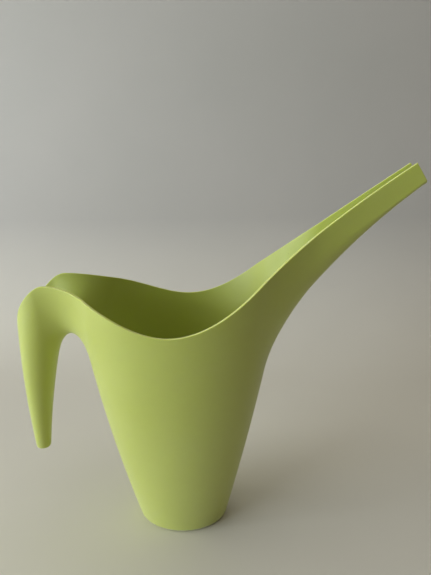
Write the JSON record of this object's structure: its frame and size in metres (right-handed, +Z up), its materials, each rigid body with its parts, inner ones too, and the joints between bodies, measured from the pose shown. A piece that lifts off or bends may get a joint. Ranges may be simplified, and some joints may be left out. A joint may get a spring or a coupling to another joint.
{
  "type": "watering can",
  "caption": "Oval tapered watering can with an open channel spout and a hollow horn-shaped handle, moulded in one piece of lime green plastic.",
  "frame": {"origin": "on the floor, under the middle of the can's whole length and width", "axes": "+Z up, +X towards the spout's open end, -X towards the handle; y = 0 is the mirror plane"},
  "size_m": [0.335, 0.12, 0.3201],
  "materials": {
    "lime_plastic": "fine satin, as moulded"
  },
  "bodies": {
    "root": {"pot": "lime_plastic", "spout": "lime_plastic", "handle": "lime_plastic"}
  },
  "joints": []
}
